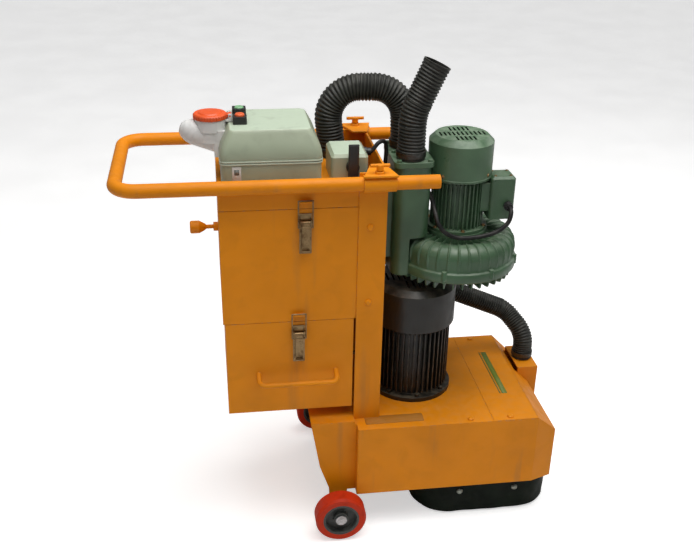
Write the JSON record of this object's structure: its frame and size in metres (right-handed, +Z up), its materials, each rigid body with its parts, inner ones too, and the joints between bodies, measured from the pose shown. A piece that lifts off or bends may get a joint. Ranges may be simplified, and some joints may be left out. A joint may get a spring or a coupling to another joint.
{
  "type": "concrete floor grinder",
  "caption": "Walk-behind floor grinder with an upright motor over a belt-driven skirted disc, a vacuum blower, a dust cabinet, sliding handle and two rear wheels.",
  "frame": {"origin": "on the floor, under the middle of the overall box", "axes": "+X forward to the grinding head, +Y to the left side of the machine, +Z up"},
  "size_m": [1.1123, 0.534, 1.1914],
  "materials": {
    "orange_paint": "semi-gloss orange powder coat",
    "handle_paint": "gloss orange paint",
    "drawer_paint": "semi-gloss orange powder coat",
    "zinc": "zinc plated, tarnished",
    "screw_finish": "painted over with the machine, bare on the skirt",
    "band_steel": "dark oxidised steel",
    "filter_paper": "matt pleated polyester",
    "box_grey": "moulded grey-green, satin",
    "black_plastic": "black, satin",
    "green_button": "gloss green",
    "red_button": "gloss red",
    "inlet_white": "moulded white, satin",
    "inlet_red": "moulded red, satin",
    "hose_black": "ribbed, satin",
    "cable_black": "satin",
    "blower_green": "dark green cast surface",
    "blower_cowl_green": "grey-green pressed steel",
    "motor_black": "black cast surface",
    "steel": "turned steel",
    "cast_iron": "bare cast",
    "belt_rubber": "matt",
    "segment_metal": "sintered diamond metal",
    "cowl_paint": "black paint",
    "skirt_rubber": "matt black",
    "wheel_grey": "grey cast hub",
    "tread_red": "red polyurethane"
  },
  "bodies": {
    "chassis": {"head_housing": "orange_paint", "belt_cover": "orange_paint", "rear_axle_frame": "orange_paint", "upright_post": "orange_paint", "handle_clamps": "orange_paint", "cabinet_body": "orange_paint", "cabinet_lid": "orange_paint", "button_head_screws": "screw_finish", "hose_clamps": "band_steel", "lid_latch_base": "zinc", "filter_element": "filter_paper", "control_box_base": "box_grey", "control_box_cover": "box_grey", "reversing_switch_box": "box_grey", "button_bezels": "black_plastic", "cable_glands": "black_plastic", "power_inlet_body": "inlet_white", "inlet_socket": "inlet_white", "filter_outlet_hose": "hose_black", "exhaust_hose": "hose_black", "suction_hose": "hose_black", "power_cables": "cable_black", "blower_silencer": "blower_green", "blower_casing": "blower_green", "blower_motor_body": "blower_green", "blower_terminal_box": "blower_green", "blower_port_flange": "blower_cowl_green", "blower_fan_cowl": "blower_cowl_green", "main_motor_body": "motor_black", "main_motor_cowl": "motor_black", "wheel_axle": "steel", "bearing_housing": "cast_iron", "drive_belts": "belt_rubber", "grinding_cowl": "cowl_paint", "dust_skirt": "skirt_rubber"},
    "handle": {"handle_frame": "handle_paint"},
    "right_clamp_screw": {"clamp_screw_right": "handle_paint"},
    "left_clamp_screw": {"clamp_screw_left": "handle_paint"},
    "shaker": {"shaker_rod": "handle_paint"},
    "drawer": {"dust_drawer": "drawer_paint", "drawer_latch_base": "zinc"},
    "drawer_lever": {"drawer_latch_lever": "zinc"},
    "drawer_bail": {"drawer_latch_bail": "zinc"},
    "lid_lever": {"lid_latch_lever": "zinc"},
    "lid_bail": {"lid_latch_bail": "zinc"},
    "start_cap": {"start_button": "green_button"},
    "stop_cap": {"stop_button": "red_button"},
    "inlet_flap": {"inlet_lid": "inlet_red"},
    "switch_lever": {"reversing_lever": "black_plastic"},
    "motor_rotor": {"main_motor_rotor": "steel", "motor_pulley": "cast_iron"},
    "spindle": {"spindle_shaft": "steel", "spindle_pulley": "cast_iron", "grinding_disc": "cast_iron", "grinding_segments": "segment_metal"},
    "blower_spin_group": {"blower_rotor": "steel"},
    "right_wheel": {"wheel_hub_right": "wheel_grey", "wheel_tread_right": "tread_red"},
    "left_wheel": {"wheel_hub_left": "wheel_grey", "wheel_tread_left": "tread_red"}
  },
  "joints": [
    {"name": "handle_slide", "type": "slide", "parent": "chassis", "child": "handle", "axis": [1, 0, 0], "range_m": [-0.08, 0.1]},
    {"name": "right_clamp_turn", "type": "hinge", "parent": "chassis", "child": "right_clamp_screw", "pos_m": [0.042, -0.182, 0.98], "axis": [0, 0, 1], "range_deg": [-360, 180]},
    {"name": "left_clamp_turn", "type": "hinge", "parent": "chassis", "child": "left_clamp_screw", "pos_m": [0.042, 0.182, 0.98], "axis": [0, 0, 1], "range_deg": [-360, 180]},
    {"name": "shaker_pull", "type": "slide", "parent": "chassis", "child": "shaker", "axis": [-1, 0, 0], "range_m": [0, 0.045]},
    {"name": "drawer_slide", "type": "slide", "parent": "chassis", "child": "drawer", "axis": [0, -1, 0], "range_m": [0, 0.28]},
    {"name": "drawer_latch_open", "type": "hinge", "parent": "drawer", "child": "drawer_lever", "pos_m": [-0.138, -0.171, 0.563], "axis": [-1, 0, 0], "range_deg": [0, 110]},
    {"name": "drawer_bail_turn", "type": "hinge", "parent": "drawer_lever", "child": "drawer_bail", "pos_m": [-0.138, -0.171, 0.551], "axis": [-1, 0, 0], "range_deg": [-110, 0]},
    {"name": "lid_latch_open", "type": "hinge", "parent": "chassis", "child": "lid_lever", "pos_m": [-0.122, -0.171, 0.85], "axis": [-1, 0, 0], "range_deg": [0, 110]},
    {"name": "lid_bail_turn", "type": "hinge", "parent": "lid_lever", "child": "lid_bail", "pos_m": [-0.122, -0.171, 0.838], "axis": [-1, 0, 0], "range_deg": [-110, 0]},
    {"name": "start_press", "type": "slide", "parent": "chassis", "child": "start_cap", "axis": [0, 0, -1], "range_m": [0, 0.004], "stiffness_N_per_m": 300},
    {"name": "stop_press", "type": "slide", "parent": "chassis", "child": "stop_cap", "axis": [0, 0, -1], "range_m": [0, 0.004], "stiffness_N_per_m": 300},
    {"name": "inlet_flap_open", "type": "hinge", "parent": "chassis", "child": "inlet_flap", "pos_m": [-0.281, -0.06, 1.072], "axis": [0, 1, 0], "range_deg": [0, 95]},
    {"name": "reversing_turn", "type": "hinge", "parent": "chassis", "child": "switch_lever", "pos_m": [-0.011, -0.125, 0.965], "axis": [0, 1, 0], "range_deg": [-45, 45]},
    {"name": "motor_spin", "type": "hinge", "parent": "chassis", "child": "motor_rotor", "pos_m": [0.178, 0, 0.4], "axis": [0, 0, 1], "continuous": true},
    {"name": "spindle_spin", "type": "hinge", "parent": "chassis", "child": "spindle", "pos_m": [0.359, 0, 0.15], "axis": [0, 0, 1], "continuous": true},
    {"name": "blower_spin", "type": "hinge", "parent": "chassis", "child": "blower_spin_group", "pos_m": [0.275, 0, 0.8], "axis": [0, 0, 1], "continuous": true},
    {"name": "right_wheel_spin", "type": "hinge", "parent": "chassis", "child": "right_wheel", "pos_m": [-0.041, -0.2445, 0.065], "axis": [0, 1, 0], "continuous": true},
    {"name": "left_wheel_spin", "type": "hinge", "parent": "chassis", "child": "left_wheel", "pos_m": [-0.041, 0.2445, 0.065], "axis": [0, 1, 0], "continuous": true}
  ],
  "couplings": [
    {"joint": "drawer_bail_turn", "follows": "drawer_latch_open", "ratio": -1},
    {"joint": "lid_bail_turn", "follows": "lid_latch_open", "ratio": -1},
    {"joint": "motor_spin", "follows": "spindle_spin", "ratio": 1.5556}
  ]
}
